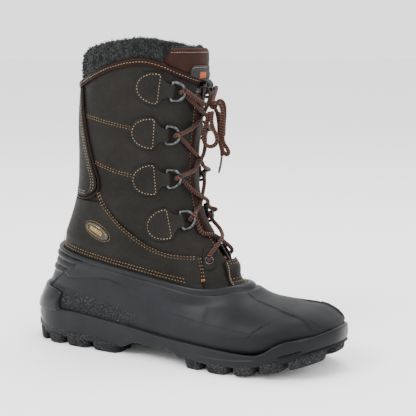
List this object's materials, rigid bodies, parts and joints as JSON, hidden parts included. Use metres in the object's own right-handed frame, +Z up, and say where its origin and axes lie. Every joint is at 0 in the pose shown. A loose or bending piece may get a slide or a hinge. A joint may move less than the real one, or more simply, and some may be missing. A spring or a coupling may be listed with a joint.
{
  "type": "insulated boot",
  "caption": "Insulated winter boot: laced leather shaft on a moulded rubber shell with a lugged sole, fleece cuff and padded tongue, steel lace rings that turn on their bars.",
  "frame": {"origin": "on the ground under the middle of the sole outline", "axes": "+X from heel to toe, -Y the outer (lateral) side of this right boot, +Z up"},
  "size_m": [0.321, 0.1187, 0.2985],
  "materials": {
    "waxed_leather": "waxed, pebbled",
    "brown_leather": "satin",
    "moulded_rubber": "satin",
    "tread_rubber": "matte, stippled",
    "clip_plastic": "gloss",
    "fleece": "pile",
    "felt": "felted",
    "fibre_board": "matte",
    "steel": "polished",
    "lace_cord": "braided",
    "webbing": "woven",
    "badge_metal": "polished",
    "aglet_plastic": "gloss"
  },
  "bodies": {
    "boot": {"aglet_far": "aglet_plastic", "aglet_near": "aglet_plastic", "backstay": "waxed_leather", "backstay_piping": "brown_leather", "badge": "badge_metal", "bow_loop_left": "lace_cord", "bow_loop_right": "lace_cord", "eyelet_lateral": "steel", "eyelet_medial": "steel", "eyelet_tab_lateral": "waxed_leather", "eyelet_tab_medial": "waxed_leather", "fleece_cuff": "fleece", "footbed": "felt", "heel_clip": "clip_plastic", "insole_board": "fibre_board", "lace_knot": "lace_cord", "lace_run": "lace_cord", "lining": "felt", "lower_quarter_lateral": "waxed_leather", "lower_quarter_medial": "waxed_leather", "outsole": "tread_rubber", "pull_tab": "webbing", "ring_tab_lateral_1": "waxed_leather", "ring_tab_lateral_2": "waxed_leather", "ring_tab_lateral_3": "waxed_leather", "ring_tab_lateral_4": "waxed_leather", "ring_tab_medial_1": "waxed_leather", "ring_tab_medial_2": "waxed_leather", "ring_tab_medial_3": "waxed_leather", "ring_tab_medial_4": "waxed_leather", "rubber_shell": "moulded_rubber", "shaft_lateral": "waxed_leather", "shaft_medial": "waxed_leather", "shank": "steel", "tail_far": "lace_cord", "tail_near": "lace_cord", "tongue": "brown_leather", "tongue_fleece": "fleece", "tongue_label": "webbing", "tongue_pad": "brown_leather", "tongue_patch": "webbing", "top_binding": "brown_leather", "vamp": "waxed_leather"},
    "ring_lateral_1": {"d_ring_lateral_1": "steel"},
    "ring_lateral_2": {"d_ring_lateral_2": "steel"},
    "ring_lateral_3": {"d_ring_lateral_3": "steel"},
    "ring_lateral_4": {"d_ring_lateral_4": "steel"},
    "ring_medial_1": {"d_ring_medial_1": "steel"},
    "ring_medial_2": {"d_ring_medial_2": "steel"},
    "ring_medial_3": {"d_ring_medial_3": "steel"},
    "ring_medial_4": {"d_ring_medial_4": "steel"}
  },
  "joints": [
    {"name": "ring_hinge_lateral_1", "type": "hinge", "parent": "boot", "child": "ring_lateral_1", "pos_m": [0.0079, -0.03313, 0.24964], "axis": [-0.1579, -0.011, -0.9874], "range_deg": [-8, 30], "deforming": ["lace_run"]},
    {"name": "ring_hinge_lateral_2", "type": "hinge", "parent": "boot", "child": "ring_lateral_2", "pos_m": [0.00173, -0.03317, 0.20969], "axis": [-0.0973, 0.0352, -0.9946], "range_deg": [-8, 30], "deforming": ["lace_run"]},
    {"name": "ring_hinge_lateral_3", "type": "hinge", "parent": "boot", "child": "ring_lateral_3", "pos_m": [0.00133, -0.03091, 0.16903], "axis": [0.0584, 0.0393, -0.9975], "range_deg": [-8, 30], "deforming": ["lace_run"]},
    {"name": "ring_hinge_lateral_4", "type": "hinge", "parent": "boot", "child": "ring_lateral_4", "pos_m": [0.01293, -0.02506, 0.13009], "axis": [0.2276, -0.0073, -0.9737], "range_deg": [-8, 30], "deforming": ["lace_run"]},
    {"name": "ring_hinge_medial_1", "type": "hinge", "parent": "boot", "child": "ring_medial_1", "pos_m": [0.00246, 0.03671, 0.24968], "axis": [0.1518, 0.0066, 0.9884], "range_deg": [-8, 30], "deforming": ["lace_run"]},
    {"name": "ring_hinge_medial_2", "type": "hinge", "parent": "boot", "child": "ring_medial_2", "pos_m": [-0.00358, 0.03635, 0.20972], "axis": [0.088, 0.0384, 0.9954], "range_deg": [-8, 30], "deforming": ["lace_run"]},
    {"name": "ring_hinge_medial_3", "type": "hinge", "parent": "boot", "child": "ring_medial_3", "pos_m": [-0.00397, 0.0344, 0.16899], "axis": [-0.0549, 0.0431, 0.9976], "range_deg": [-8, 30], "deforming": ["lace_run"]},
    {"name": "ring_hinge_medial_4", "type": "hinge", "parent": "boot", "child": "ring_medial_4", "pos_m": [0.00763, 0.02915, 0.12991], "axis": [-0.1949, 0.0041, 0.9808], "range_deg": [-8, 30], "deforming": ["lace_run"]}
  ]
}
